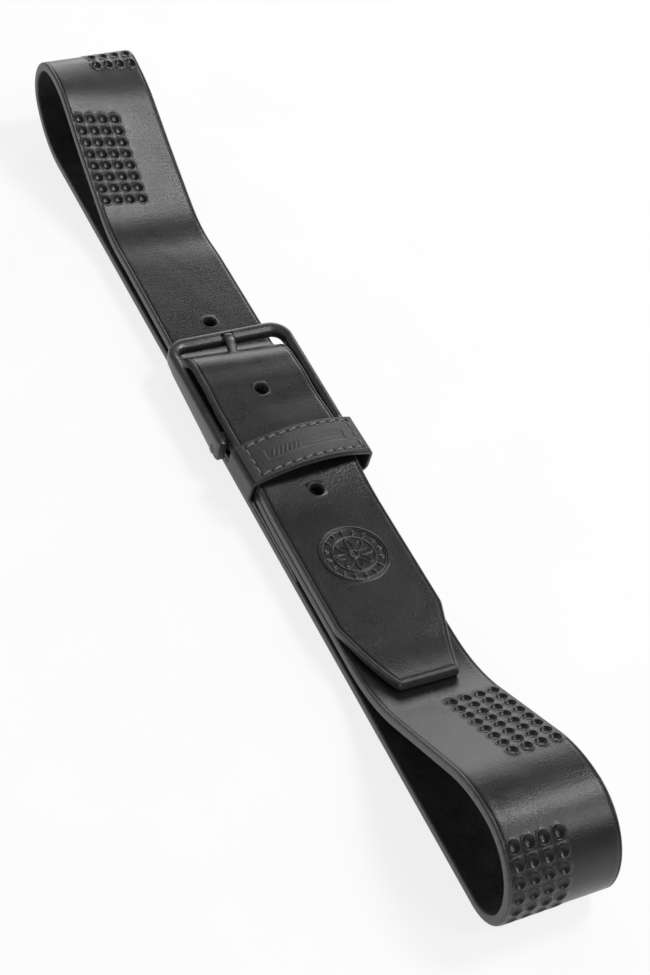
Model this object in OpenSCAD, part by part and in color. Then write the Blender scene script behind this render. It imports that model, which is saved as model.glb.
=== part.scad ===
// A buckled leather belt lying on its outer face: a strap with a frame buckle,
// a prong, a sliding keeper and the sewing that holds them together.
// X runs along the belt, Y across it and Z up from the surface it lies on.

/* [Strap] */
// Width of the strap
strap_w = 40; // [36:0.5:41]
// Thickness of the leather
strap_t = 3.5; // [3:0.1:3.8]
// Thickness of the skived end that is folded under the buckle bar
turnback_t = 1.8; // [1.5:0.1:2]
// Air between one layer of the strap and the next
layer_gap = 0.3; // [0.2:0.05:0.4]
// Where the folded end stops, along the belt
turnback_end = 61; // [55:1:66]

/* [Tongue] */
// Diameter of the punched holes
hole_d = 5; // [4.6:0.1:5.4]
// Distance from one hole to the next, along the strap
hole_pitch = 24.4; // [24.2:0.1:24.6]
// Number of holes
hole_count = 5; // [4:1:6]
// Distance from the cut tip to the first hole, along the strap
first_hole = 87.3; // [87:0.1:88]
// Width of the straight cut across the tip
tip_w = 22; // [18:0.5:28]
// Length over which the tip narrows
tip_taper = 29; // [20:1:35]

/* [Buckle] */
// Width between the side rails
buckle_inner_w = 42.4; // [42:0.1:43]
// Width of a side rail
rail_w = 3.8; // [3.4:0.1:4.2]
// Where the front bar's outer edge is, along the belt
buckle_front = -51.5; // [-53:0.5:-51]
// Length of the front bar's cross section
front_bar_l = 6; // [5:0.5:6]
// Height of the front bar's cross section
front_bar_h = 4.4; // [4:0.1:4.6]
// Diameter of the bar that the strap folds round
heel_bar_d = 3.5; // [3.3:0.1:3.6]
// Radial clearance round that bar
bar_clearance = 0.1; // [0.05:0.01:0.1]

/* [Prong] */
// Width of the prong
prong_w = 3.7; // [3.4:0.1:3.7]
// Thickness of the prong at its root
prong_root_t = 2.4; // [2.2:0.1:2.6]
// Thickness of the prong where it passes the strap
prong_tip_t = 1.8; // [1.6:0.1:1.9]

/* [Keeper] */
// Middle of the keeper, along the belt
keeper_x = 16.1; // [15.9:0.1:16.4]
// Width of the keeper band, along the belt
keeper_l = 16.6; // [16.4:0.1:16.8]
// Thickness of the keeper band
keeper_t = 1.3; // [1.1:0.1:1.3]
// Thickness of the patch sewn on the keeper
patch_t = 1.2; // [1:0.1:1.4]
// Rise of the keeper's top in its middle
keeper_rise = 4.7; // [4.4:0.1:4.8]

/* [End loops] */
// Height of the loop at the tip's end of the belt
near_loop_h = 38.4; // [38:0.2:39]
// Height of the loop at the other end
far_loop_h = 33.9; // [33.5:0.2:34.5]
// Half the length of the whole belt as it lies
half_length = 204.5; // [203:0.5:206]

/* [Hidden] */
$fn = 64;

sew_gap = 0.15;                       // air round the layers that are sewn together
bottom_z = strap_t / 2;               // middle of the layer on the table
turnback_z = strap_t + sew_gap;       // underside of the folded end
turnback_top = turnback_z + turnback_t;
main_z = turnback_top + sew_gap + bottom_z;           // middle of the sewn-down layer
tongue_z = main_z + strap_t + layer_gap;              // middle of the tongue above it
far_run_z = strap_t + layer_gap + bottom_z;           // middle of the layer behind the buckle
heel_x = -2.5;
heel_r = heel_bar_d / 2 + bar_clearance;              // bore of the fold and of the prong's eye
heel_z = turnback_top + heel_r;
heel_rise = heel_z + heel_r + bottom_z - main_z;      // how far the layers climb over the bar
climb_end = 2;                                        // the layers are level from here to the bar
climb_start = 45;                                     // and level again from here to the tip
crest_x = -31.5;                                      // the tongue dives under the front bar here
crest_rise = 1;
crest_run = 24;
dive = 56;                                            // slope of that dive, in degrees
dive_r_top = 14 - bottom_z;
dive_r_foot = 7.5 + bottom_z;

// A move of the strap's middle line is [length, turn to the left in degrees].
function run(length) = [length, 0];
function bend(radius, turn) = [radius * abs(turn) * PI / 180, turn];
// Two equal bends that shift the line sideways by rise, over length
function shift_turn(rise, length) = 2 * atan(rise / length);
function shift_r(rise, length) = length / (2 * sin(shift_turn(rise, length)));
function shift(rise, length) = [bend(shift_r(rise, length), -shift_turn(rise, length)),
                                bend(shift_r(rise, length), shift_turn(rise, length))];

// A place on the line is [x, z, heading]; these follow the moves from one place to the next.
function part_of(move, share) = [move[0] * share, move[1] * share];
function turn_r(move) = move[0] / (move[1] * PI / 180);
function after(place, move) = move[1] == 0
    ? [place[0] + move[0] * cos(place[2]), place[1] + move[0] * sin(place[2]), place[2]]
    : [place[0] + turn_r(move) * (sin(place[2] + move[1]) - sin(place[2])),
       place[1] - turn_r(move) * (cos(place[2] + move[1]) - cos(place[2])),
       place[2] + move[1]];
function steps(move) = max(1, ceil(abs(move[1]) / 4));
function trace(moves, place, i = 0) = i == len(moves) ? [place] : concat(
    [for (k = [0 : steps(moves[i]) - 1]) after(place, part_of(moves[i], k / steps(moves[i])))],
    trace(moves, after(place, moves[i]), i + 1));
function place_at(moves, place, s, i = 0) = s <= moves[i][0]
    ? after(place, part_of(moves[i], s / moves[i][0]))
    : place_at(moves, after(place, moves[i]), s - moves[i][0], i + 1);
function beside(place, d) = [place[0] - d * sin(place[2]), place[1] + d * cos(place[2])];

// The tongue: from the cut tip, level along the main layer, up over the heel bar to the crest
near_flat = 101;                      // the layers rise into the near loop beyond this
near_r_foot = 60 + bottom_z;
tip_r = near_r_foot - strap_t - layer_gap;
tip_turn = 17;
tip_start = [near_flat + tip_r * sin(tip_turn), tongue_z + tip_r * (1 - cos(tip_turn)), 180 + tip_turn];
tip_moves = [bend(tip_r, -tip_turn), run(near_flat - climb_start)];
tongue_start = [climb_start, tongue_z, 180];
dive_straight = (tongue_z + heel_rise + crest_rise - far_run_z
                 - (dive_r_top + dive_r_foot) * (1 - cos(dive))) / sin(dive);
tongue_moves = concat(
    shift(heel_rise, climb_start - climb_end),
    [run(climb_end - crest_x - crest_run)],
    shift(crest_rise, crest_run),
    [bend(dive_r_top, dive), run(dive_straight), bend(dive_r_foot, -dive)]);
dive_foot_x = crest_x - (dive_r_top + dive_r_foot) * sin(dive) - dive_straight * cos(dive);

// The far loop: a long slope up, a tight turn at the end and a wide sweep down to the table
far_slope = 22;
far_r_foot = 50 + bottom_z;
far_r_crest = 50 - bottom_z;
far_r_end = 13 - bottom_z;
far_sweep = 45;
far_sweep_r = (far_loop_h - 13 - bottom_z - far_r_end * cos(far_sweep)) / (1 - cos(far_sweep));
far_top = far_loop_h - bottom_z;
far_straight = (far_top - far_run_z - (far_r_foot + far_r_crest) * (1 - cos(far_slope))) / sin(far_slope);
far_end_x = -half_length + 13;
far_flat = far_end_x + (far_r_foot + far_r_crest) * sin(far_slope) + far_straight * cos(far_slope);
far_moves = [run(dive_foot_x - far_flat), bend(far_r_foot, -far_slope), run(far_straight),
             bend(far_r_crest, far_slope), bend(far_r_end, 180 - far_sweep), bend(far_sweep_r, far_sweep)];
bottom_start = far_end_x - far_r_end * sin(far_sweep) + far_sweep_r * sin(far_sweep);

// The near loop: round the end of the belt, down a slope and level again above the folded end
near_slope = 28.5;
near_r = 23 - bottom_z;
near_turn = 100;
near_top = near_loop_h - bottom_z;
near_x = half_length - 23;
near_low_x = near_x + near_r * sin(near_turn);
near_low_z = near_top - near_r * (1 - cos(near_turn));
near_low_r = (near_low_z - bottom_z) / (1 + cos(near_turn));
near_r_crest = 45 - bottom_z;
near_straight = (near_top - main_z - (near_r_crest + near_r_foot) * (1 - cos(near_slope))) / sin(near_slope);
near_moves = [bend(near_low_r, 180 - near_turn), bend(near_r, near_turn), bend(near_r_crest, near_slope),
              run(near_straight), bend(near_r_foot, -near_slope)];
near_end_x = near_x - (near_r_crest + near_r_foot) * sin(near_slope) - near_straight * cos(near_slope);
bottom_end = near_low_x - near_low_r * sin(near_turn);

loop_moves = concat(tongue_moves, far_moves, [run(bottom_end - bottom_start)], near_moves,
                    [run(near_end_x - climb_start)], shift(heel_rise, climb_start - climb_end),
                    [run(climb_end - heel_x)]);

// The buckle's own heights
front_top = 15;
rear_top = 14.2;
buckle_rear = 2;
rail_front_z = 9.2;
rail_rear_z = 5.2;
corner_r = 8;
notch_w = prong_w + 0.6;
notch_z = 13.2;
prong_hole = 3;                       // counted from the tip
prong_hole_lean = 8;                  // the prong pulls this hole askew, in degrees
buckle_w = buckle_inner_w + 2 * rail_w;

// The prong's curve from the eye to its rounded tip
prong_start = [heel_x - 2, heel_z + 0.34, 178.2];
prong_moves = [run(27.6), bend(17.5, -35.5), run(2.6), bend(6.8, 39.2)];
eye_r = heel_r + 1.5;

// The keeper's section across the belt: flat below, arched above
keeper_low = turnback_top + 0.65;
keeper_top = 16.7;
keeper_tilt = 4.5;                    // it leans with the strap that climbs through it
keeper_skew = 3.5;                    // and sits a little askew and to one side
keeper_y = 1.2;
keeper_pivot_z = 20;
keeper_half = strap_w / 2 + 3.4 + keeper_t;
keeper_foot_r = 3.2;
keeper_shoulder_r = 2;
patch_l = 16.2;
arch_r = (pow(keeper_half, 2) + pow(keeper_rise, 2)) / (2 * keeper_rise);
arch_z = keeper_top + keeper_rise - arch_r;
shoulder_y = keeper_half - keeper_shoulder_r;
shoulder_z = arch_z + sqrt(pow(arch_r - keeper_shoulder_r, 2) - pow(shoulder_y, 2));
shoulder_a = atan2(shoulder_z - arch_z, shoulder_y);
patch_half = arch_r * cos(shoulder_a);
patch_stitch_pitch = 4.1;
patch_stitch_l = 3.1;
thread_d = 0.8;

// Extrudes a shape drawn along the belt and up, to a width across the belt
module across(w) {
    rotate([90, 0, 0]) linear_extrude(w, center = true) children();
}

// A strip of leather that follows the moves from a place
module strip(moves, start, t, w) {
    line = trace(moves, start);
    n = len(line) - 1;
    across(w) polygon(concat([for (p = line) beside(p, t / 2)],
                             [for (i = [n : -1 : 0]) beside(line[i], -t / 2)]));
}

// Cuts the tongue's end to its taper, seen from above
module tip_outline() {
    tip_x = tip_start[0];
    translate([0, 0, tongue_z - 5]) linear_extrude(20)
        polygon([[0, -strap_w / 2], [tip_x - tip_taper, -strap_w / 2], [tip_x + 1, -tip_w / 2 + 0.3],
                 [tip_x + 1, tip_w / 2 - 0.3], [tip_x - tip_taper, strap_w / 2], [0, strap_w / 2]]);
}

// Half a turn of leather round the heel bar, thinning down to the folded end
module fold() {
    outer_r = (main_z + heel_rise + bottom_z - turnback_z) / 2;
    across(strap_w) difference() {
        translate([heel_x, turnback_z + outer_r]) circle(outer_r);
        translate([heel_x, heel_z]) circle(heel_r);
        translate([heel_x, 0]) square([20, 20]);
    }
}

module turnback() {
    skive = 4;
    across(strap_w) polygon([[heel_x, turnback_z], [turnback_end, turnback_z],
                             [turnback_end, turnback_z + 0.9], [turnback_end - skive, turnback_top],
                             [heel_x, turnback_top]]);
}

// The holes in the tongue, square to the leather except where the prong pulls one askew
module tongue_holes() {
    moves = concat(tip_moves, tongue_moves, far_moves);
    for (i = [0 : hole_count - 1]) {
        p = place_at(moves, tip_start, first_hole + i * hole_pitch);
        lean = i == prong_hole ? prong_hole_lean : 0;
        translate([p[0], 0, p[1]]) rotate([0, 180 - p[2] - lean, 0])
            cylinder(d = hole_d, h = strap_t + 0.5 + lean / 10, center = true);
    }
}

// Lets the prong's eye through the fold
module prong_slot() {
    top = main_z + heel_rise + bottom_z + layer_gap / 2;
    translate([heel_x - 6, -prong_w / 2 - 0.5, strap_t + sew_gap / 2])
        cube([11.5, prong_w + 1, top - strap_t - sew_gap / 2]);
}

// A row of saddle stitches across the sewn layers, loose by gap; top is the upper face there
module stitch_row(x, top, gap) {
    count = 10;
    pitch = 3.6;
    d = thread_d + 2 * gap;
    low = turnback_z + thread_d / 2 - gap;
    for (i = [0 : count - 1]) translate([x, (i - (count - 1) / 2) * pitch, low]) {
        cylinder(d = d, h = top - thread_d / 2 + gap - low);
        if (i < count - 1)
            translate([-d / 2, 0, i % 2 == 0 ? top - thread_d - low : -thread_d / 2])
                cube([d, pitch, thread_d + gap]);
    }
}
front_row_x = 57;
rear_row_x = 47;
main_top = main_z + bottom_z;

module strap() {
    color([0.13, 0.13, 0.14]) difference() {
        union() {
            intersection() {
                strip(tip_moves, tip_start, strap_t, strap_w);
                tip_outline();
            }
            strip(loop_moves, tongue_start, strap_t, strap_w);
            fold();
            turnback();
        }
        tongue_holes();
        prong_slot();
        stitch_row(front_row_x, main_top, 0.05);
        stitch_row(rear_row_x, main_top, 0.05);
    }
}

module turnback_front_stitches() {
    color([0.08, 0.08, 0.08]) stitch_row(front_row_x, main_top, 0);
}

module turnback_rear_stitches() {
    color([0.08, 0.08, 0.08]) stitch_row(rear_row_x, main_top, 0);
}

// The buckle seen from above: two rails and a front bar with rounded corners
module buckle_outline() {
    inner_r = corner_r - rail_w;
    inner_front = buckle_front + front_bar_l;
    difference() {
        union() {
            translate([buckle_front + corner_r, -buckle_w / 2])
                square([buckle_rear - buckle_front - corner_r, buckle_w]);
            translate([buckle_front, -buckle_w / 2 + corner_r])
                square([corner_r + 1, buckle_w - 2 * corner_r]);
            for (side = [-1, 1]) translate([buckle_front + corner_r, side * (buckle_w / 2 - corner_r)])
                circle(corner_r);
        }
        translate([inner_front + inner_r, -buckle_inner_w / 2]) square([80, buckle_inner_w]);
        translate([inner_front, -buckle_inner_w / 2 + inner_r])
            square([inner_r + 1, buckle_inner_w - 2 * inner_r]);
        for (side = [-1, 1]) translate([inner_front + inner_r, side * (buckle_inner_w / 2 - inner_r)])
            circle(inner_r);
    }
}

// The buckle seen from the side: shallow at the front bar, deeper where the rails hold the heel bar
module buckle_side() {
    rail_start = buckle_front + corner_r;
    polygon([[buckle_front, front_top - front_bar_h], [rail_start, front_top - front_bar_h],
             [rail_start + 2, rail_front_z], [buckle_rear, rail_rear_z],
             [buckle_rear, rear_top], [buckle_front, front_top]]);
}

module buckle_frame() {
    color([0.16, 0.16, 0.17]) difference() {
        intersection() {
            linear_extrude(30) buckle_outline();
            across(buckle_w + 2) buckle_side();
        }
        translate([buckle_front + 2.2, -notch_w / 2, notch_z]) cube([10, notch_w, 5]);
        translate([heel_x, 0, heel_z]) rotate([90, 0, 0])
            cylinder(d = heel_bar_d, h = buckle_w - 2, center = true);
    }
}

module heel_bar() {
    color([0.3, 0.3, 0.31]) translate([heel_x, 0, heel_z]) rotate([90, 0, 0])
        cylinder(d = heel_bar_d, h = buckle_w - 2, center = true);
}

// The prong tapers from its root to its tip along its curve
module prong() {
    line = trace(prong_moves, prong_start);
    n = len(line) - 1;
    half_t = [for (i = [0 : n]) (prong_root_t - (prong_root_t - prong_tip_t) * i / n) / 2];
    color([0.17, 0.17, 0.18]) difference() {
        union() {
            translate([heel_x, 0, heel_z]) rotate([90, 0, 0])
                cylinder(r = eye_r, h = prong_w, center = true);
            across(prong_w) polygon(concat([for (i = [0 : n]) beside(line[i], half_t[i])],
                                           [for (i = [n : -1 : 0]) beside(line[i], -half_t[i])]));
        }
        translate([heel_x, 0, heel_z]) rotate([90, 0, 0])
            cylinder(r = heel_r, h = prong_w + 1, center = true);
    }
}

// Points along an arc, from one angle to another
function arc(y, z, r, from, to, count) =
    [for (i = [0 : count]) let (a = from + (to - from) * i / count) [y + r * cos(a), z + r * sin(a)]];

// Leans a child about the keeper's top
module leaning() {
    translate([keeper_x, keeper_y, keeper_pivot_z]) rotate([0, keeper_tilt, keeper_skew])
        translate([-keeper_x, 0, -keeper_pivot_z]) children();
}

// Extrudes a shape drawn across the belt and up, along the belt about the keeper's middle
module along(l) {
    translate([keeper_x, 0, 0]) rotate([90, 0, 90]) linear_extrude(l, center = true) children();
}

module keeper_section(inset) {
    foot_y = keeper_half - keeper_foot_r;
    foot_z = keeper_low + keeper_foot_r;
    polygon(concat(
        arc(foot_y, foot_z, keeper_foot_r - inset, -90, 0, 12),
        arc(shoulder_y, shoulder_z, keeper_shoulder_r - inset, 0, shoulder_a, 10),
        arc(0, arch_z, arch_r - inset, shoulder_a, 180 - shoulder_a, 24),
        arc(-shoulder_y, shoulder_z, keeper_shoulder_r - inset, 180 - shoulder_a, 180, 10),
        arc(-foot_y, foot_z, keeper_foot_r - inset, 180, 270, 12)));
}

module keeper_band() {
    color([0.24, 0.24, 0.25]) leaning() difference() {
        along(keeper_l) difference() {
            keeper_section(0);
            keeper_section(keeper_t);
        }
        staple_wires(0.02);
    }
}

// Two wire staples across the band's butt joint, on the face under the strap
module staple_wires(gap) {
    wire = 0.7;
    crown = 7;
    for (x = [-4, 4]) translate([keeper_x + x - wire / 2 - gap, 0, keeper_low]) {
        translate([0, -crown / 2 - gap, keeper_t - wire - gap])
            cube([wire + 2 * gap, crown + 2 * gap, wire + 2 * gap]);
        for (side = [-1, 1]) translate([0, side * (crown - wire) / 2 - wire / 2 - gap, 0.3 - gap])
            cube([wire + 2 * gap, wire + 2 * gap, keeper_t - 0.3]);
    }
}

module keeper_staples() {
    color([0.6, 0.6, 0.62]) leaning() staple_wires(0);
}

module patch_section() {
    polygon(concat(arc(0, arch_z, arch_r, shoulder_a, 180 - shoulder_a, 24),
                   arc(0, arch_z, arch_r + patch_t, 180 - shoulder_a, shoulder_a, 24)));
}

// The stitches round the patch: two long rows and one short row at each end
module patch_threads(gap) {
    edge = 1.6;
    rows = floor((patch_half - edge) / patch_stitch_pitch);
    half_w = rows * patch_stitch_pitch;
    for (i = [-rows : rows - 1], side = [-1, 1])
        on_arch(side * (patch_l / 2 - edge), (i + 0.5) * patch_stitch_pitch) one_thread(90, gap);
    for (k = [-1, 0, 1], side = [-1, 1])
        on_arch(k * patch_stitch_pitch, side * half_w) one_thread(0, gap);
}

// Places a child on the patch's upper face, x along the belt and y across it from the keeper's middle
module on_arch(x, y) {
    translate([keeper_x + x, 0, arch_z]) rotate([-asin(y / arch_r), 0, 0])
        translate([0, 0, arch_r + patch_t]) children();
}

module one_thread(turn, gap) {
    rotate([0, 90, turn])
        cylinder(d = thread_d + 2 * gap, h = patch_stitch_l + 2 * gap, center = true, $fn = 16);
}

module keeper_patch() {
    color([0.27, 0.27, 0.28]) leaning() difference() {
        along(patch_l) patch_section();
        patch_threads(0.02);
    }
}

module keeper_patch_stitches() {
    color([0.2, 0.2, 0.2]) leaning() patch_threads(0);
}

strap();
turnback_front_stitches();
turnback_rear_stitches();
buckle_frame();
heel_bar();
prong();
keeper_band();
keeper_patch();
keeper_patch_stitches();
keeper_staples();
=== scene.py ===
"""Looks for the buckled leather belt: the strap, the buckle, the keeper, their finishes and the studio."""

import math

import bmesh
import bpy
import numpy as np
from mathutils import Matrix, Vector


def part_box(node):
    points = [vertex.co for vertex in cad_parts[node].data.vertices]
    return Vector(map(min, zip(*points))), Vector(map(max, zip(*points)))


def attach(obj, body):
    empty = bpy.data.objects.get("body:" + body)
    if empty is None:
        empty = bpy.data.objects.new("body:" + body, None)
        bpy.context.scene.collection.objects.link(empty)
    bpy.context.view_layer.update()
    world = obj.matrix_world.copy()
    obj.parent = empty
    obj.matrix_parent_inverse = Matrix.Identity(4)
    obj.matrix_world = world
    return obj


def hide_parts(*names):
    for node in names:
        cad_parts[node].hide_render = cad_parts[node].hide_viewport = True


MM = 0.001

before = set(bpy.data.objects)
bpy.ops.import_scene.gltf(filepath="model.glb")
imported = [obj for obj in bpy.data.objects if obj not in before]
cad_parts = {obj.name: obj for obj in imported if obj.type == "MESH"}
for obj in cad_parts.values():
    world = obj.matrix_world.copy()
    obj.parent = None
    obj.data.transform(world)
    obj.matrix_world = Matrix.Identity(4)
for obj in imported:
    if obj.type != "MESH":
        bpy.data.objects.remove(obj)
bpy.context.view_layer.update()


def cad(node):
    """A CAD node's lowest and highest corners in millimetres."""
    low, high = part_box(node)
    return np.array(low) / MM, np.array(high) / MM


# ---------------------------------------------------------------- the belt's driving sizes, in millimetres

STRAP_HIGH = cad("strap")[1]
FRAME_LOW, FRAME_HIGH = cad("buckle_frame")
BAR_LOW, BAR_HIGH = cad("heel_bar")

HALF_LENGTH = STRAP_HIGH[0]
HALF_W = STRAP_HIGH[1]
NEAR_LOOP_H = STRAP_HIGH[2]
FAR_LOOP_H = 33.9
THICK = 3.5
SEW_GAP = 0.15
LAYER_GAP = 0.3
TURNBACK_T = 1.8
TURNBACK_END = 61
TURNBACK_SKIVE = 4
HEEL_X = (BAR_LOW[0] + BAR_HIGH[0]) / 2
HEEL_Z = (BAR_LOW[2] + BAR_HIGH[2]) / 2
HEEL_BORE = (BAR_HIGH[2] - BAR_LOW[2]) / 2 + 0.1
HOLE_R = 2.5
HOLE_PITCH = 24.4
FIRST_HOLE = 87.3
HOLE_COUNT = 5
TIP_HALF_W = 11
TIP_TAPER = 29

TURNBACK_Z = THICK + SEW_GAP
TURNBACK_TOP = TURNBACK_Z + TURNBACK_T
MAIN_Z = TURNBACK_TOP + SEW_GAP + THICK / 2
TONGUE_Z = MAIN_Z + THICK + LAYER_GAP
FAR_RUN_Z = THICK * 1.5 + LAYER_GAP
HEEL_RISE = HEEL_Z + HEEL_BORE + THICK / 2 - MAIN_Z


# ---------------------------------------------------------------- the strap's side profile

def run(length):
    return (length, 0.0)


def bend(radius, turn):
    return (radius * abs(turn) * math.pi / 180, turn)


def shift(rise, length):
    """Two equal bends that move the line sideways by rise over length."""
    turn = 2 * math.degrees(math.atan(rise / length))
    radius = length / (2 * math.sin(math.radians(turn)))
    return [bend(radius, -turn), bend(radius, turn)]


def sind(a):
    return math.sin(math.radians(a))


def cosd(a):
    return math.cos(math.radians(a))


def after(place, length, turn):
    """The place [x, z, heading] that a move leads to."""
    x, z, heading = place
    if turn == 0:
        return x + length * cosd(heading), z + length * sind(heading), heading
    radius = length / math.radians(turn)
    return (x + radius * (sind(heading + turn) - sind(heading)),
            z - radius * (cosd(heading + turn) - cosd(heading)), heading + turn)


def strap_moves():
    """Where the strap's middle line starts at the tip, and its moves as far as the heel bar."""
    half = THICK / 2
    climb_end, climb_start, near_flat = 2, 45, 101
    near_foot = 60 + half
    tip_r, tip_turn = near_foot - THICK - LAYER_GAP, 17
    start = (near_flat + tip_r * sind(tip_turn), TONGUE_Z + tip_r * (1 - cosd(tip_turn)), 180 + tip_turn)
    tip = [bend(tip_r, -tip_turn), run(near_flat - climb_start)]

    crest_x, crest_rise, crest_run, dive = -31.5, 1, 24, 56
    dive_top, dive_foot = 14 - half, 7.5 + half
    drop = TONGUE_Z + HEEL_RISE + crest_rise - FAR_RUN_Z
    dive_straight = (drop - (dive_top + dive_foot) * (1 - cosd(dive))) / sind(dive)
    tongue = shift(HEEL_RISE, climb_start - climb_end) + [run(climb_end - crest_x - crest_run)]
    tongue += shift(crest_rise, crest_run)
    tongue += [bend(dive_top, dive), run(dive_straight), bend(dive_foot, -dive)]
    dive_x = crest_x - (dive_top + dive_foot) * sind(dive) - dive_straight * cosd(dive)

    slope, sweep = 22, 45
    foot, crest, end = 50 + half, 50 - half, 13 - half
    sweep_r = (FAR_LOOP_H - 13 - half - end * cosd(sweep)) / (1 - cosd(sweep))
    straight = (FAR_LOOP_H - half - FAR_RUN_Z - (foot + crest) * (1 - cosd(slope))) / sind(slope)
    end_x = 13 - HALF_LENGTH
    flat_x = end_x + (foot + crest) * sind(slope) + straight * cosd(slope)
    far = [run(dive_x - flat_x), bend(foot, -slope), run(straight), bend(crest, slope),
           bend(end, 180 - sweep), bend(sweep_r, sweep)]
    bottom_start = end_x + (sweep_r - end) * sind(sweep)

    slope, turn, radius, crest = 28.5, 100, 23 - half, 45 - half
    top_x, top_z = HALF_LENGTH - 23, NEAR_LOOP_H - half
    low_r = (top_z - radius * (1 - cosd(turn)) - half) / (1 + cosd(turn))
    bottom_end = top_x + (radius - low_r) * sind(turn)
    straight = (top_z - MAIN_Z - (crest + near_foot) * (1 - cosd(slope))) / sind(slope)
    near_x = top_x - (crest + near_foot) * sind(slope) - straight * cosd(slope)
    near = [run(bottom_end - bottom_start), bend(low_r, 180 - turn), bend(radius, turn), bend(crest, slope),
            run(straight), bend(near_foot, -slope), run(near_x - climb_start)]
    back = shift(HEEL_RISE, climb_start - climb_end) + [run(climb_end - HEEL_X)]
    return start, tip + tongue + far + near + back


def strap_table(step=0.2):
    """Rows of [distance, outer x, outer z, inner x, inner z] along the whole strap, with its turnback."""
    place, moves = strap_moves()
    rows = []
    s = 0
    for length, turn in moves:
        count = max(1, round(length / step))
        for k in range(count):
            x, z, heading = after(place, length * k / count, turn * k / count)
            dx, dz = sind(heading) * THICK / 2, -cosd(heading) * THICK / 2
            rows.append((s + length * k / count, x + dx, z + dz, x - dx, z - dz))
        place = after(place, length, turn)
        s += length
    fold_r = (MAIN_Z + HEEL_RISE + THICK / 2 - TURNBACK_Z) / 2
    fold_length = math.pi * (fold_r + HEEL_BORE) / 2
    count = round(fold_length / step)
    for k in range(count):
        a = 90 + 180 * k / count
        rows.append((s + fold_length * k / count,
                     HEEL_X + fold_r * cosd(a), TURNBACK_Z + fold_r * (1 + sind(a)),
                     HEEL_X + HEEL_BORE * cosd(a), HEEL_Z + HEEL_BORE * sind(a)))
    s += fold_length
    skive_x = TURNBACK_END - TURNBACK_SKIVE
    for x, top in ((HEEL_X, TURNBACK_TOP), (skive_x, TURNBACK_TOP), (TURNBACK_END, TURNBACK_Z + 0.9)):
        rows.append((s + x - HEEL_X, x, TURNBACK_Z, x, top))
    return np.array(rows)


TABLE = strap_table()
STRAP_LENGTH = TABLE[-1, 0]
MAIN_START = STRAP_LENGTH / 2


def distance_at(x, after_s, rising):
    """The distance along the strap where its outer face passes x, looking beyond after_s."""
    for a, b in zip(TABLE[:-1], TABLE[1:]):
        if a[0] >= after_s and (a[1] <= x <= b[1] if rising else b[1] <= x <= a[1]):
            return a[0] + (b[0] - a[0]) * (x - a[1]) / (b[1] - a[1])
    raise ValueError(f"the strap never passes {x}")


def sag_table():
    """How the strap settles out of true: rows of distance, near edge's rise, far edge's rise and reach."""
    tongue = [(2, 0, 0, 0), (-12, 0.1, -1.2, 0), (-22, 0.6, -0.9, 0), (-30, -0.1, -1.9, 0),
              (-36, 0.6, -1.8, 0)]
    behind = [(-56, 2.2, -0.1, 0), (-100, 3.2, -0.1, 0), (-128, 2.6, -2.6, 0), (-152, 2.8, -3.4, 0),
              (-174, 4.2, -3.2, -0.5), (-188, 3.2, -2.4, -2.5), (-198, 1.6, -0.6, -4.2)]
    rows = [(distance_at(x, 0, False), *rest) for x, *rest in tongue + behind]
    end = rows[-1][0]
    level = [(end + 14, 0.4, 0, -3), (end + 34, 0, 0, 0), (STRAP_LENGTH, 0, 0, 0)]
    return np.array([(0, 0, 0, 0)] + rows + level)


def smoothed(table, step=1.0, width=15):
    """The table resampled evenly and softened, so that its corners don't show."""
    s = np.arange(0, STRAP_LENGTH + step, step)
    kernel = np.hanning(width + 2)[1:-1]
    kernel /= kernel.sum()
    columns = [s]
    for k in range(1, table.shape[1]):
        values = np.interp(s, table[:, 0], table[:, k])
        columns.append(np.convolve(np.pad(values, width // 2, mode="edge"), kernel, mode="valid"))
    return np.stack(columns, 1)


SAG = smoothed(sag_table())


def strap_faces(s):
    """The outer face's x and z and the inner face's x and z at a distance along the strap."""
    return (np.interp(s, TABLE[:, 0], TABLE[:, k]) for k in (1, 2, 3, 4))


def strap_points(s, v, depth):
    """Points under the strap's outer face: s along it, v across it and depth into the leather."""
    s, v, depth = (np.asarray(a, float) for a in (s, v, depth))
    ox, oz, ix, iz = strap_faces(s)
    share = depth / np.hypot(ix - ox, iz - oz)
    near_rise, far_rise, reach = (np.interp(s, SAG[:, 0], SAG[:, k]) for k in (1, 2, 3))
    far_side = v / HALF_W / 2 + 0.5
    return np.stack([ox + (ix - ox) * share + reach * far_side, v,
                     oz + (iz - oz) * share + near_rise * (1 - far_side) + far_rise * far_side], -1)


def thickness(s):
    ox, oz, ix, iz = strap_faces(s)
    return np.hypot(ix - ox, iz - oz)


# ---------------------------------------------------------------- the strap's mesh

CELL = 0.861                                   # one grid cell; a printed dot takes six of them each way
BAND_CELLS = 22                                # the grid is even this far out from the middle
WIDE = 1.3                                     # the grid's lines between blocks are about this far apart
EDGE_LINES = [0, 0.04, 0.14, 0.3, 0.52, 0.8, 0.95, 1.2, 1.38]
PAINTED = 0.97                                 # faces nearer the outline than this are painted edge
CREASE_AT = 1.2
CREASE_DEPTH = 0.2
EDGE_R = 0.8
DOT_ROWS = 8
DOT_COLUMNS = 4
DOT_CELLS = 6
DOT = DOT_CELLS * CELL
FAR_DOTS_X = -131.2                            # where the groups near the end loops start
NEAR_DOTS_X = 162.3
PIT_RINGS = [(2.5, -0.06), (2.25, -0.17), (2.05, -0.14), (1.88, 0.03), (1.65, 0.36), (1.35, 0.7),
             (0.9, 0.92), (0.4, 0.99)]
PIT_DEPTH = 1.0
HOLE_CELLS = 4
HOLE_RIM_R = 3.35
PRONG_HOLE = 3                                 # the hole in use
PRONG_HOLE_PULL = 0.3                          # and how much longer it is pulled at each end
STAMP_CELLS = 15
STAMP_X = 61.5
STAMP_R = 12.25
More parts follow.
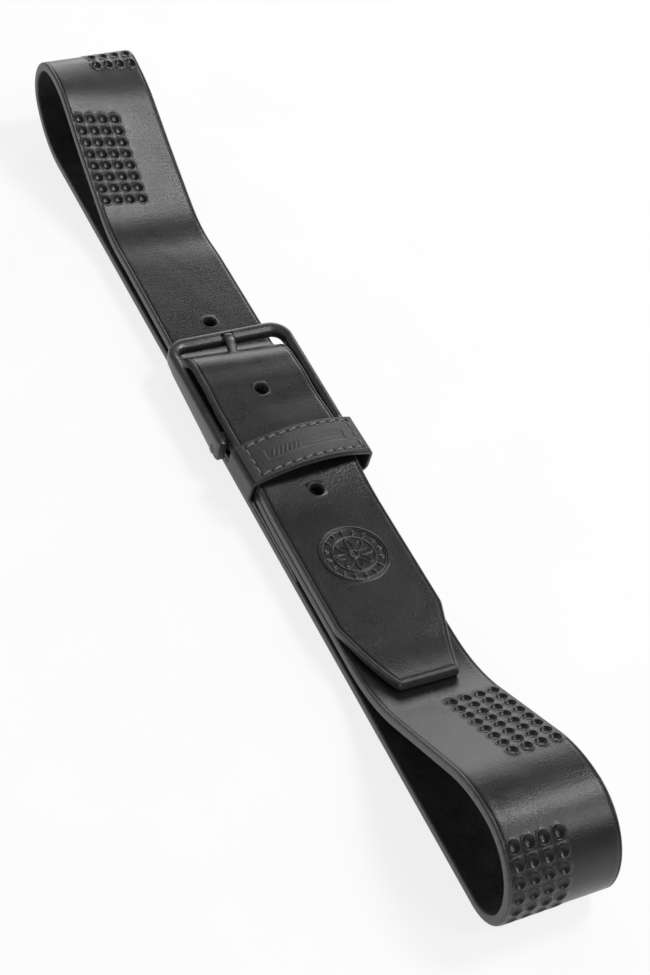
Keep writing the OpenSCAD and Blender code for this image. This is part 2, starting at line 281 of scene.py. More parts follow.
STAMP_FLOOR = 0.2
SLOT_HALF_CELLS = 3


class Mesh:
    """Collects vertices in millimetres and faces with a material index each."""

    def __init__(self):
        self.points = []
        self.count = 0
        self.faces = []
        self.kinds = []

    def add(self, points):
        points = np.asarray(points, float).reshape(-1, 3)
        self.points.append(points)
        first = self.count
        self.count += len(points)
        return list(range(first, self.count))

    def face(self, ids, kind=0):
        self.faces.append(tuple(ids))
        self.kinds.append(kind)

    def band(self, first, second, kind=0, closed=True):
        """Joins two rows of the same number of vertices."""
        n = len(first)
        for k in range(n if closed else n - 1):
            self.face((first[k], first[(k + 1) % n], second[(k + 1) % n], second[k]), kind)

    def make(self, name, materials):
        points = np.concatenate(self.points) * MM
        mesh = bpy.data.meshes.new(name)
        mesh.from_pydata([tuple(p) for p in points], [], self.faces)
        for material in materials:
            mesh.materials.append(material)
        mesh.polygons.foreach_set("material_index", self.kinds)
        mesh.polygons.foreach_set("use_smooth", [True] * len(self.faces))
        mesh.validate()
        obj = bpy.data.objects.new(name, mesh)
        bpy.context.scene.collection.objects.link(obj)
        tidy_normals(obj)
        return obj


def tidy_normals(obj):
    """Turns every face outwards."""
    bm = bmesh.new()
    bm.from_mesh(obj.data)
    bmesh.ops.recalc_face_normals(bm, faces=bm.faces)
    bm.to_mesh(obj.data)
    bm.free()


def along_lines(blocks):
    """Distances of the grid's lines: even cells inside each block, wider ones between them."""
    lines = list(EDGE_LINES)
    for start, cells, wide in blocks:
        gap = start - lines[-1]
        count = max(1, round(gap / wide))
        lines += [lines[-1] + gap * k / count for k in range(1, count)]
        lines += [start + CELL * k for k in range(cells + 1)]
    end = STRAP_LENGTH - EDGE_LINES[-1]
    count = round((end - lines[-1]) / 1.4)
    lines += [lines[-1] + (end - lines[-1]) * k / count for k in range(1, count)]
    return np.array(lines + [STRAP_LENGTH - d for d in reversed(EDGE_LINES)])


def across_lines():
    """Places of the grid's lines from one edge of the strap to the other."""
    edge = [HALF_W - d for d in EDGE_LINES if d != 0.95]
    half = sorted(set(round(v, 4) for v in [CELL * k for k in range(1, BAND_CELLS + 1)] + edge))
    return np.array([-v for v in reversed(half)] + [0] + half)


def half_width(s):
    """Half the strap's width, which narrows to the cut tip."""
    return np.where(s < TIP_TAPER, TIP_HALF_W + (HALF_W - TIP_HALF_W) * s / TIP_TAPER, HALF_W)


def narrowed(s, v):
    """Moves a point across the strap so that the edge's lines keep their width in the taper."""
    inside = HALF_W - EDGE_LINES[-1] - 0.2
    half = half_width(s)
    middle = v * (half - (HALF_W - inside)) / inside
    edge = np.sign(v) * (half - (HALF_W - np.abs(v)))
    return np.where(np.abs(v) > inside, edge, middle)


def to_edge(s, v, radius):
    """Distance to the strap's outline, with the tip's corners rounded."""
    side = HALF_W - np.abs(v)
    end = np.minimum(s, STRAP_LENGTH - s)
    a, b = np.maximum(radius - side, 0), np.maximum(radius - end, 0)
    return np.maximum(radius - np.hypot(a, b), 0) + np.maximum(np.minimum(side, end) - radius, 0)


def rounding(d, radius):
    return radius - np.sqrt(np.maximum(radius ** 2 - np.maximum(radius - d, 0) ** 2, 0))


def outer_depth(s, v):
    """How far the grain side lies under the strap's nominal face: rounded edges, a crease, slight waves."""
    radius = np.minimum(EDGE_R, 0.4 * thickness(s))
    d = to_edge(s, v, radius)
    crease = CREASE_DEPTH * np.exp(-((d - CREASE_AT) / 0.2) ** 2)
    waves = 0.03 * np.sin(s * 0.31 + 1.3 * np.sin(v * 0.21)) * np.sin(v * 0.27 + 0.6 * np.sin(s * 0.11))
    return rounding(d, radius) + crease + (waves + 0.03) * np.clip((d - 2) / 2, 0, 1)


def inner_depth(s, v):
    t = thickness(s)
    radius = np.minimum(0.6, 0.35 * t)
    return t - rounding(to_edge(s, v, radius), radius)


def block_loop(i0, i1, j0, j1):
    """The grid places round a block, in order."""
    return ([(i0, j) for j in range(j0, j1)] + [(i, j1) for i in range(i0, i1)]
            + [(i1, j) for j in range(j1, j0, -1)] + [(i, j0) for i in range(i1, i0, -1)])


def stamp_relief(r, a):
    """Depth of the ornament pressed into the tongue: two rims, a ring of lozenges and a petalled rosette."""
    def line(radius, width):
        return np.exp(-((r - radius) / width) ** 2)
    lozenge = np.abs(np.sin(8 * a)) * 2.2 + np.abs(r - 9.7) / 1.15
    marks = 1 / (1 + np.exp((lozenge - 0.95) * 9))
    petal = 2.4 + 4.3 * np.abs(np.cos(4 * a)) ** 1.4
    rosette = np.exp(-((r - petal) / 0.4) ** 2) + 0.9 * line(1.5, 0.35)
    field = STAMP_FLOOR / (1 + np.exp((r - 12.0) * 6))
    rims = line(12.0, 0.28) + 0.8 * line(11.2, 0.22) + 0.9 * line(7.6, 0.22)
    return field - 0.4 * np.clip(rims + marks + rosette, 0, 1)


def dot_groups():
    """[middle along the strap, side] of each group of dots: one near each end loop and eight between them."""
    far = distance_at(FAR_DOTS_X, FIRST_HOLE + HOLE_COUNT * HOLE_PITCH - 60, False) + 3.5 * DOT
    near = distance_at(NEAR_DOTS_X, MAIN_START + 150, False) + 3.5 * DOT
    middles = [far] + list(np.linspace(far + 61.8, near - 66.6, 8)) + [near]
    return [(middle, -1 if k % 2 == 0 else 1) for k, middle in enumerate(middles)]


class StrapGrid:
    """The strap's two faces as grids of vertices. Holes and marks take the place of blocks of cells."""

    def __init__(self, mesh, lines, across):
        self.mesh, self.lines, self.across = mesh, lines, across
        s, v = np.meshgrid(lines, across, indexing="ij")
        moved = narrowed(s, v)
        self.outer = np.array(mesh.add(strap_points(s, moved, outer_depth(s, v)))).reshape(s.shape)
        self.inner = np.array(mesh.add(strap_points(s, moved, inner_depth(s, v)))).reshape(s.shape)
        cells = (len(lines) - 1, len(across) - 1)
        self.outer_kept, self.inner_kept = np.ones(cells, bool), np.ones(cells, bool)

    def row_at(self, s):
        return int(np.abs(self.lines - s).argmin())

    def column_at(self, v):
        return int(np.abs(self.across - v).argmin())

    def patch(self, s, v, cells, rings, kind, inner=False, floor=None, split=False, pulled=0.0):
        """Replaces a block of cells with rings round its middle; gives back the last ring."""
        face, kept = (self.inner, self.inner_kept) if inner else (self.outer, self.outer_kept)
        i, half = self.row_at(s), cells * CELL
        s = self.lines[i]
        j0, j1 = self.column_at(v - half), self.column_at(v + half)
        kept[i - cells:i + cells, j0:j1] = False
        loop = block_loop(i - cells, i + cells, j0, j1)
        last = [face[p] for p in loop]
        ds = np.array([self.lines[p[0]] for p in loop]) - s
        dv = np.array([self.across[p[1]] for p in loop]) - v
        a = np.unwrap(np.arctan2(dv, ds))
        if split:
            following = np.append(a[1:], a[0] + math.copysign(2 * math.pi, a[1] - a[0]))
            a = np.stack([a, (a + following) / 2], 1).ravel()
        for r, depth, ring_kind in rings:
            long_r = r + pulled * min(max((HOLE_RIM_R - r) / 0.5, 0), 1)
            ring_s, ring_v = s + long_r * np.cos(a), v + r * np.sin(a)
            deep = depth(r, a, ring_s, ring_v) if callable(depth) else np.full(len(a), float(depth))
            ring = self.mesh.add(strap_points(ring_s, ring_v, deep))
            if len(ring) == 2 * len(last):
                self.double(last, ring, kind)
            else:
                self.mesh.band(last, ring, ring_kind)
            last = ring
        if floor is not None:
            tip = self.mesh.add(strap_points(s, v, floor))[0]
            for k in range(len(last)):
                self.mesh.face((last[k], last[(k + 1) % len(last)], tip), kind)
        return last

    def double(self, last, ring, kind):
        """Joins a row of vertices to one with twice as many."""
        n = len(last)
        for k in range(n):
            self.mesh.face((last[k], last[(k + 1) % n], ring[(2 * k + 2) % (2 * n)], ring[2 * k + 1],
                            ring[2 * k]), kind)

    def slot(self, start, cells):
        """Cuts a straight slot through both faces, along the strap's middle."""
        i0, middle = self.row_at(start), len(self.across) // 2
        i1, j0, j1 = i0 + cells, middle - SLOT_HALF_CELLS, middle + SLOT_HALF_CELLS
        self.outer_kept[i0:i1, j0:j1] = False
        self.inner_kept[i0:i1, j0:j1] = False
        self.join(block_loop(i0, i1, j0, j1))

    def join(self, loop):
        """Joins the two faces round a loop of grid places."""
        self.mesh.band([self.outer[p] for p in loop], [self.inner[p] for p in loop], 1)

    def fill(self):
        """Makes the cells that are left, painted along the outline, and the strap's edge."""
        lines, across = self.lines, self.across
        for face, kept, side_kind in ((self.outer, self.outer_kept, 0), (self.inner, self.inner_kept, 2)):
            for i, j in zip(*np.nonzero(kept)):
                side = min(HALF_W + across[j + 1], HALF_W - across[j])
                near_edge = min(side, lines[i + 1], STRAP_LENGTH - lines[i])
                kind = 1 if near_edge < PAINTED else side_kind
                self.mesh.face((face[i, j], face[i, j + 1], face[i + 1, j + 1], face[i + 1, j]), kind)
        self.join(block_loop(0, len(lines) - 1, 0, len(across) - 1))


def press_dots(grid, groups):
    rings = [(r, depth, 0) for r, depth in PIT_RINGS]
    for group, side in groups:
        for row in range(DOT_ROWS):
            for column in range(DOT_COLUMNS):
                s = group + (row - (DOT_ROWS - 1) / 2) * DOT
                v = side * (BAND_CELLS * CELL - (column + 0.5) * DOT)
                grid.patch(s, v, DOT_CELLS // 2, rings, 0, floor=PIT_DEPTH)


def punch_holes(grid):
    """Round holes with a softly pressed rim; the prong has pulled the one in use a little long."""
    rim = [(HOLE_RIM_R, 0.02, 0), (3.15, -0.06, 0), (2.98, -0.02, 1), (2.78, 0.16, 1), (2.6, 0.42, 1),
           (HOLE_R, 0.8, 1), (HOLE_R, THICK - 0.5, 1), (2.6, THICK - 0.12, 1)]
    back = [(3.1, THICK, 2), (2.8, THICK, 2)]
    for k in range(HOLE_COUNT):
        s = FIRST_HOLE + k * HOLE_PITCH
        pulled = PRONG_HOLE_PULL if k == PRONG_HOLE else 0
        wall = grid.patch(s, 0, HOLE_CELLS, rim, 0, pulled=pulled)
        under = grid.patch(s, 0, HOLE_CELLS, back, 2, inner=True, pulled=pulled)
        grid.mesh.band(wall, under, 1)


def press_stamp(grid, stamp_s):
    def ornament(r, a, s, v):
        return stamp_relief(r, a) + outer_depth(s, v) * (r > STAMP_R)
    radii = [12.75] + list(np.arange(12.5, 0.3, -0.25))
    rings = [(r, ornament, 0) for r in radii]
    grid.patch(stamp_s, 0, STAMP_CELLS, rings, 0, floor=STAMP_FLOOR, split=True)


def make_strap(grain, paint, flesh):
    mesh = Mesh()
    stamp_s = distance_at(STAMP_X, 0, False)
    slot_start = distance_at(3, MAIN_START + 300, False)
    slot_cells = round((distance_at(3, STRAP_LENGTH - 75, True) - slot_start) / CELL)
    groups = dot_groups()
    group_cells = DOT_ROWS * DOT_CELLS
    blocks = [(stamp_s - STAMP_CELLS * CELL, 2 * STAMP_CELLS, WIDE)]
    for k in range(HOLE_COUNT):
        blocks.append((FIRST_HOLE + k * HOLE_PITCH - HOLE_CELLS * CELL, 2 * HOLE_CELLS, 1.0))
    blocks += [(middle - group_cells / 2 * CELL, group_cells, WIDE) for middle, side in groups]
    blocks += [(slot_start, slot_cells, 1.4)]
    grid = StrapGrid(mesh, along_lines(blocks), across_lines())
    press_dots(grid, groups)
    punch_holes(grid)
    press_stamp(grid, stamp_s)
    grid.slot(slot_start, slot_cells)
    grid.fill()
    strap = mesh.make("strap_leather", [grain, paint, flesh])
    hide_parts("strap")
    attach(strap, "strap")
    return strap


# ---------------------------------------------------------------- materials

def material(name):
    m = bpy.data.materials.new(name)
    m.use_nodes = True
    nodes = m.node_tree.nodes
    return m, nodes, m.node_tree.links, nodes["Principled BSDF"]


def node(nodes, kind, **values):
    n = nodes.new(kind)
    for key, value in values.items():
        if key in n.inputs:
            n.inputs[key].default_value = value
        else:
            setattr(n, key, value)
    return n


def ramp(nodes, links, source, stops):
    r = nodes.new("ShaderNodeValToRGB")
    r.color_ramp.elements[0].position = stops[0][0]
    r.color_ramp.elements[1].position = stops[-1][0]
    for position, colour in stops[1:-1]:
        r.color_ramp.elements.new(position)
    for element, (position, colour) in zip(r.color_ramp.elements, stops):
        element.position = position
        element.color = (*colour, 1)
    links.new(source, r.inputs[0])
    return r.outputs["Color"]


def grey(v):
    return (v, v, v)


def coordinates(nodes, links, scale=(1, 1, 1), rotation=(0, 0, 0)):
    """Object coordinates in millimetres."""
    source = nodes.new("ShaderNodeTexCoord")
    mapping = nodes.new("ShaderNodeMapping")
    mapping.inputs["Scale"].default_value = [k / MM for k in scale]
    mapping.inputs["Rotation"].default_value = rotation
    links.new(source.outputs["Object"], mapping.inputs["Vector"])
    return mapping.outputs["Vector"]


def noise(nodes, links, vector, scale, detail=4.0, rough=0.55):
    n = node(nodes, "ShaderNodeTexNoise", Scale=scale, Detail=detail, Roughness=rough)
    links.new(vector, n.inputs["Vector"])
    return n.outputs["Fac"]


def mixed(nodes, links, a, b, how="ADD", third=None):
    m = nodes.new("ShaderNodeMath")
    m.operation = how
    for socket, value in zip(m.inputs, (a, b, third)):
        if value is None:
            continue
        if isinstance(value, (int, float)):
            socket.default_value = value
        else:
            links.new(value, socket)
    return m.outputs[0]


def bump(nodes, links, height, shader, distance):
    b = node(nodes, "ShaderNodeBump", Strength=1.0, Distance=distance * MM)
    links.new(height, b.inputs["Height"])
    links.new(b.outputs["Normal"], shader.inputs["Normal"])


def leather(name, base, rough, grain_size, depth, wrinkles=0.0):
    """Full-grain leather: pebbled cells, pores, faint creases across the strap and uneven gloss."""
    m, nodes, links, shader = material(name)
    at = coordinates(nodes, links)
    cells = node(nodes, "ShaderNodeTexVoronoi", Scale=1 / grain_size, feature="SMOOTH_F1")
    links.new(at, cells.inputs["Vector"])
    pores = noise(nodes, links, at, 2.4 / grain_size, 5.0, 0.62)
    cloudy = noise(nodes, links, at, 0.06, 4.0, 0.6)
    height = mixed(nodes, links, cells.outputs["Distance"], pores, "ADD")
    if wrinkles:
        long_cells = coordinates(nodes, links, scale=(1.0, 0.09, 0.5), rotation=(0, 0, 0.1))
        lines = noise(nodes, links, long_cells, 0.9, 3.0, 0.5)
        height = mixed(nodes, links, lines, wrinkles, "MULTIPLY_ADD", height)
    swell = noise(nodes, links, at, 0.05, 0.0)
    height = mixed(nodes, links, swell, 2.0, "MULTIPLY_ADD", height)
    bump(nodes, links, height, shader, depth)
    colour = ramp(nodes, links, mixed(nodes, links, mixed(nodes, links, cloudy, 0.7, "MULTIPLY"),
                                      mixed(nodes, links, pores, 0.3, "MULTIPLY")),
                  [(0.3, grey(base * 0.75)), (0.5, grey(base)), (0.7, grey(base * 1.3))])
    links.new(colour, shader.inputs["Base Color"])
    gloss = ramp(nodes, links, mixed(nodes, links, cloudy, mixed(nodes, links, pores, 0.5, "MULTIPLY")),
                 [(0.5, grey(rough - 0.02)), (1.0, grey(rough + 0.04))])
    links.new(gloss, shader.inputs["Roughness"])
    return m


def edge_paint():
    m, nodes, links, shader = material("edge_paint")
    at = coordinates(nodes, links)
    wear = noise(nodes, links, at, 0.5, 5.0, 0.6)
    fine = noise(nodes, links, at, 3.0, 3.0, 0.5)
    links.new(ramp(nodes, links, wear, [(0.35, grey(0.035)), (0.6, grey(0.055)), (0.75, grey(0.08))]),
              shader.inputs["Base Color"])
    links.new(ramp(nodes, links, fine, [(0.3, grey(0.34)), (0.7, grey(0.5))]), shader.inputs["Roughness"])
    bump(nodes, links, fine, shader, 0.05)
    return m


def flesh_side():
    m, nodes, links, shader = material("flesh_side")
    at = coordinates(nodes, links)
    fibres = noise(nodes, links, at, 1.6, 8.0, 0.75)
    patches = noise(nodes, links, at, 0.15, 4.0, 0.6)
    colour = mixed(nodes, links, mixed(nodes, links, fibres, 0.6, "MULTIPLY"),
                   mixed(nodes, links, patches, 0.4, "MULTIPLY"))
    links.new(ramp(nodes, links, colour, [(0.35, grey(0.015)), (0.5, grey(0.03)), (0.66, grey(0.06))]),
              shader.inputs["Base Color"])
    shader.inputs["Roughness"].default_value = 0.85
    shader.inputs["Specular IOR Level"].default_value = 0.25
    bump(nodes, links, fibres, shader, 0.35)
    return m


def metal(name, base, rough):
    """Satin black plated metal with a faint orange-peel and slightly worn, glossier patches."""
    m, nodes, links, shader = material(name)
    at = coordinates(nodes, links)
    peel = noise(nodes, links, at, 1.2, 3.0, 0.5)
    cloudy = noise(nodes, links, at, 0.12, 4.0, 0.6)
    links.new(ramp(nodes, links, cloudy, [(0.3, grey(base * 0.85)), (0.7, grey(base * 1.2))]),
              shader.inputs["Base Color"])
    links.new(ramp(nodes, links, mixed(nodes, links, cloudy, peel, "MULTIPLY"),
                   [(0.12, grey(rough - 0.05)), (0.4, grey(rough + 0.08))]), shader.inputs["Roughness"])
    shader.inputs["Metallic"].default_value = 0.6
    bump(nodes, links, peel, shader, 0.02)
    return m


def thread(name, base):
    """Waxed twisted thread: ply lines, slightly fuzzy."""
    m, nodes, links, shader = material(name)
    at = coordinates(nodes, links)
    ply = node(nodes, "ShaderNodeTexWave", Scale=0.9, Distortion=1.5, Detail=2.0, bands_direction="DIAGONAL")
    links.new(at, ply.inputs["Vector"])
    links.new(ramp(nodes, links, ply.outputs["Fac"], [(0.2, grey(base * 0.6)), (0.8, grey(base * 1.25))]),
              shader.inputs["Base Color"])
    shader.inputs["Roughness"].default_value = 0.55
    bump(nodes, links, ply.outputs["Fac"], shader, 0.08)
    return m


def floor_paper():
    m, nodes, links, shader = material("floor_paper")
    at = coordinates(nodes, links)
    links.new(ramp(nodes, links, noise(nodes, links, at, 0.02, 2.0), [(0.3, grey(0.2)), (0.7, grey(0.22))]),
              shader.inputs["Base Color"])
    shader.inputs["Roughness"].default_value = 0.9
    shader.inputs["Specular IOR Level"].default_value = 0.1
    shader.inputs["Emission Color"].default_value = (1, 1, 1, 1)
    shader.inputs["Emission Strength"].default_value = FLOOR_GLOW
    return m


# ---------------------------------------------------------------- lofted pieces

def loft(mesh, rings, closed=False):
    """Joins rings of points into a skin, whose last ring meets the first or whose ends are capped."""
    ids = [mesh.add(ring) for ring in rings]
    for a, b in zip(ids[:-1], ids[1:]):
        mesh.band(a, b)
    if closed:
        mesh.band(ids[-1], ids[0])
    else:
        mesh.face(ids[0][::-1])
        mesh.face(ids[-1])


def arc(cx, cy, r, start, end, count):
    angles = [start + (end - start) * k / count for k in range(count + 1)]
    return [(cx + r * cosd(a), cy + r * sind(a)) for a in angles]


# The buckle frame, seen from above, is a U of two rails and a front bar.
RAIL_W = 3.8
FRONT_BAR = 6.0
CORNER_R = 8.0
REAR_X = FRAME_HIGH[0]
FRONT_X = FRAME_LOW[0]
BUCKLE_HALF = FRAME_HIGH[1]
FRONT_TOP, REAR_TOP = 15.0, 14.2
FRONT_BOTTOM = 10.6
RAIL_BOTTOM_FRONT, RAIL_BOTTOM_REAR = 9.2, FRAME_LOW[2]
BAR_TO_RAIL = 6.2                              # the bar's underside drops to the rails' over this length
RAIL_END_SOFT = 0.5
NOTCH_HALF = 2.4
NOTCH_START = 2.1
NOTCH_DROP = 1.6


def buckle_path():
    """Stations (outer x, outer y, inner x, inner y) round the buckle, from one rail's rear to the other's."""
    inner_r = CORNER_R - RAIL_W
    inner_half = BUCKLE_HALF - RAIL_W
    centre_y = BUCKLE_HALF - CORNER_R
    outer_x, inner_x = FRONT_X + CORNER_R, FRONT_X + FRONT_BAR + inner_r
    rail = [(x, -BUCKLE_HALF, x, -inner_half) for x in np.linspace(REAR_X, inner_x, 30)]
    corner = []
    for k in range(1, 15):
        a = 90 * k / 14
        corner.append((outer_x - CORNER_R * sind(a), -centre_y - CORNER_R * cosd(a),
                       inner_x - inner_r * sind(a), -centre_y - inner_r * cosd(a)))
    edges = [NOTCH_HALF + 0.25, NOTCH_HALF + 0.12, NOTCH_HALF, NOTCH_HALF - 0.15]
    ys = list(np.linspace(-centre_y, -edges[0] - 0.6, 12))[1:] + [-e for e in edges] + [-1.2, 0]
    ys = ys + [-y for y in reversed(ys[:-1])]
    bar = [(FRONT_X, y, FRONT_X + FRONT_BAR, y) for y in ys]
    half = rail + corner
    return half + bar + [(ox, -oy, ix, -iy) for ox, oy, ix, iy in reversed(half)]


def buckle_section(width, bottom, top):
    """(across from the outer face, height) round one station: a soft crown, rolled over on both sides."""
    inner = width - 0.45 * max(width - RAIL_W, 0)
    roll = min(1.7, (top - bottom) * 0.45)
    foot = min(1.0, (top - bottom) * 0.3)
    points = arc(0.7, bottom + 0.7, 0.7, 270, 180, 4)
    points += [(0, (top + bottom) / 2 - 0.1)]
    points += [(1.5 * (1 - cosd(a)), top - 1.7 + 1.6 * sind(a)) for a in range(0, 91, 15)]
    points += [(1.5 + (inner - 2.7) * t, top - 0.1 + 0.1 * math.sin(math.pi * t) - 0.3 * t * t)
               for t in (0.2, 0.4, 0.6, 0.8)]
    points += [(inner - 1.2 + 1.2 * sind(a), top - 0.4 - roll * (1 - cosd(a))) for a in range(0, 91, 15)]
    points += arc(inner - foot, bottom + foot, foot, 0, -90, 4)
    return points


def make_buckle(finish):
    mesh = Mesh()
    rings = []
    for ox, oy, ix, iy in buckle_path():
        width = math.hypot(ix - ox, iy - oy)
        share = np.clip((ox - FRONT_X) / (REAR_X - FRONT_X), 0, 1)
        top = FRONT_TOP + (REAR_TOP - FRONT_TOP) * share
        blend = np.clip((ix - (FRONT_X + FRONT_BAR)) / BAR_TO_RAIL, 0, 1)
        blend = blend * blend * (3 - 2 * blend)
        rail_bottom = RAIL_BOTTOM_FRONT + (RAIL_BOTTOM_REAR - RAIL_BOTTOM_FRONT) * share
        bottom = FRONT_BOTTOM + (rail_bottom - FRONT_BOTTOM) * blend
        ring = []
        for u, z in buckle_section(width, bottom, top):
            inset = max(0.0, RAIL_END_SOFT - (REAR_X - ox))
            u = min(max(u, inset), width - inset)
            z = min(max(z, bottom + inset), top - inset)
            if abs(oy) < NOTCH_HALF + 0.1 and oy == iy and u > NOTCH_START:
                z = min(z, top - NOTCH_DROP)
            t = u / width
            ring.append((ox + (ix - ox) * t, oy + (iy - oy) * t, z))
        rings.append(ring)
    loft(mesh, rings)
    for side in (-1, 1):
        rivet_head(mesh, (HEEL_X, side * BUCKLE_HALF, HEEL_Z), side)
    buckle = mesh.make("buckle_frame_metal", [finish])
    sharpen(buckle, 50)
    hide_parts("buckle_frame")
    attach(buckle, "buckle")
    return buckle


def rivet_head(mesh, centre, side):
    """The peened end of the heel bar, a low dome in a shallow ring on a rail's outer face."""
    x, y, z = centre
    rings = []
    for r, out in ((1.9, -0.3), (1.9, 0.03), (1.75, 0.12), (1.2, 0.26), (0.6, 0.33), (0.15, 0.35)):
        rings.append([(x + r * cosd(a), y + side * out, z + r * sind(a)) for a in range(0, 360, 15)])
    loft(mesh, rings)


def sharpen(obj, angle):
    """Keeps edges sharper than the angle crisp in an otherwise smooth piece."""
    bm = bmesh.new()
    bm.from_mesh(obj.data)
    for edge in bm.edges:
        if len(edge.link_faces) == 2 and edge.calc_face_angle(0) > math.radians(angle):
            edge.smooth = False
    bm.to_mesh(obj.data)
    bm.free()


# The prong
PRONG_HALF_W = 1.85
PRONG_ROOT_T, PRONG_TIP_T = 2.4, 1.8
PRONG_TIP_SOFT = 1.6


def prong_stations():
    """Places [x, z, heading] along the prong's middle, from its eye to its tip."""
    place = (HEEL_X - 2, HEEL_Z + 0.34, 178.2)
    moves = [run(27.6), bend(17.5, -35.5), run(2.6), bend(6.8, 39.2)]
    rows = []
    for length, turn in moves:
        count = max(2, round(length / 0.8))
        rows += [after(place, length * k / count, turn * k / count) for k in range(count)]
        place = after(place, length, turn)
    return rows + [place]


def squared(angle, across_power, up_power):
    """A point round a unit circle that is swollen towards a square."""
    c, s = cosd(angle), sind(angle)
    return math.copysign(abs(c) ** across_power, c), math.copysign(abs(s) ** up_power, s)


def prong_shaft():
    """Rings along the shaft, which thins towards a rounded tip."""
    rows = prong_stations()
    rings = []
    for k, (x, z, heading) in enumerate(rows):
        share = k / (len(rows) - 1)
        half_t = (PRONG_ROOT_T + (PRONG_TIP_T - PRONG_ROOT_T) * share) / 2
        to_tip = math.hypot(x - rows[-1][0], z - rows[-1][1])
        end = math.sqrt(max(1 - (1 - min(to_tip / PRONG_TIP_SOFT, 1)) ** 2, 0.06))
        half_w = PRONG_HALF_W * (0.55 + 0.45 * end) if to_tip < PRONG_TIP_SOFT else PRONG_HALF_W
        half_t *= 0.35 + 0.65 * end
        ring = []
        for a in range(0, 360, 18):
            across, up = squared(a, 0.45, 0.6)
            up *= half_t
            ring.append((x + up * sind(heading), half_w * across, z - up * cosd(heading)))
        rings.append(ring)
    return rings


def prong_eye():
    """Rings round the eye that the heel bar passes through."""
    rings = []
    for a in range(0, 360, 10):
        ring = []
        for b in range(0, 360, 30):
            out, across = squared(b, 0.5, 0.5)
            r = HEEL_BORE + 0.75 + 0.7 * out
            ring.append((HEEL_X + r * cosd(a), PRONG_HALF_W * across, HEEL_Z + r * sind(a)))
        rings.append(ring)
    return rings


def make_prong(finish):
    mesh = Mesh()
    loft(mesh, prong_shaft())
    loft(mesh, prong_eye(), closed=True)
    prong = mesh.make("prong_metal", [finish])
    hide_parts("prong")
    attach(prong, "prong")
    return prong


# ---------------------------------------------------------------- the keeper

KEEPER_X = 16.1
KEEPER_Y = 1.2
KEEPER_L = 16.6
KEEPER_T = 1.3
PATCH_L = 16.2
PATCH_T = 1.2
PATCH_EDGE = 0.45
KEEPER_TILT = 4.5
KEEPER_SKEW = 3.5
KEEPER_PIVOT_Z = 20
KEEPER_LOW = TURNBACK_TOP + 0.65
KEEPER_TOP = 16.7
KEEPER_RISE = 4.7
KEEPER_HALF = HALF_W + 3.4 + KEEPER_T
FOOT_R, SHOULDER_R = 3.2, 2.0
ARCH_R = (KEEPER_HALF ** 2 + KEEPER_RISE ** 2) / (2 * KEEPER_RISE)
ARCH_Z = KEEPER_TOP + KEEPER_RISE - ARCH_R
SHOULDER_Y = KEEPER_HALF - SHOULDER_R
SHOULDER_Z = ARCH_Z + math.sqrt((ARCH_R - SHOULDER_R) ** 2 - SHOULDER_Y ** 2)
SHOULDER_A = math.degrees(math.atan2(SHOULDER_Z - ARCH_Z, SHOULDER_Y))


def leaning(points):
    """Leans points about the keeper's top, as the strap it slides on climbs, and turns them askew."""
    p = np.array(points, float).reshape(-1, 3) - (KEEPER_X, 0, KEEPER_PIVOT_Z)
    c, s = cosd(KEEPER_TILT), sind(KEEPER_TILT)
    x = p[:, 0] * c + p[:, 2] * s
    z = p[:, 2] * c - p[:, 0] * s
    c, s = cosd(KEEPER_SKEW), sind(KEEPER_SKEW)
    return np.stack([x * c - p[:, 1] * s + KEEPER_X, x * s + p[:, 1] * c + KEEPER_Y, z + KEEPER_PIVOT_Z], 1)


def keeper_section(inset):
    foot_y, foot_z = KEEPER_HALF - FOOT_R, KEEPER_LOW + FOOT_R
    points = arc(foot_y, foot_z, FOOT_R - inset, -90, 0, 10)
    points += [(KEEPER_HALF - inset, foot_z + (SHOULDER_Z - foot_z) * k / 5) for k in range(1, 5)]
    points += arc(SHOULDER_Y, SHOULDER_Z, SHOULDER_R - inset, 0, SHOULDER_A, 8)
    points += arc(0, ARCH_Z, ARCH_R - inset, SHOULDER_A, 180 - SHOULDER_A, 40)[1:-1]
    right = [p for p in points if p[0] >= 0]
    left = [(-y, z) for y, z in reversed(right) if y > 1e-6]
    floor = [(y, KEEPER_LOW + inset) for y in np.linspace(-foot_y, foot_y, 24)[1:-1]]
    return right + left + floor


def make_keeper_band(finish):
    mesh = Mesh()
    rings = []
    half = KEEPER_L / 2
    soft = 0.4
    outline = arc(half - soft, soft, soft, -90, 0, 4) + arc(half - soft, KEEPER_T - soft, soft, 0, 90, 4)
    outline += [(x, KEEPER_T) for x in np.linspace(half - soft, soft - half, 9)[1:-1]]
    outline += arc(soft - half, KEEPER_T - soft, soft, 90, 180, 4) + arc(soft - half, soft, soft, 180, 270, 4)
    outline += [(x, 0) for x in np.linspace(soft - half, half - soft, 9)[1:-1]]
    sections = {round(d, 5): keeper_section(d) for x, d in outline}
    count = len(keeper_section(0))
    for k in range(count):
        ring = []
        for x, d in outline:
            y, z = sections[round(d, 5)][k]
            ring.append((KEEPER_X + x, y, z))
        rings.append(leaning(ring))
    loft(mesh, rings, closed=True)
    band = mesh.make("keeper_band_leather", [finish])
    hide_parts("keeper_band")
    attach(band, "keeper")
    return band


STITCH_PITCH = 4.1
STITCH_EDGE = 1.6
STITCH_L = 3.4
PATCH_HALF = ARCH_R * cosd(SHOULDER_A)


def on_arch(x, y, up):
    """A point on the patch: x along the belt and y round the arch, both from its middle, up from the band."""
    a = y / ARCH_R
    r = ARCH_R + up
    return np.stack([KEEPER_X + x, r * np.sin(a), ARCH_Z + r * np.cos(a)], -1)


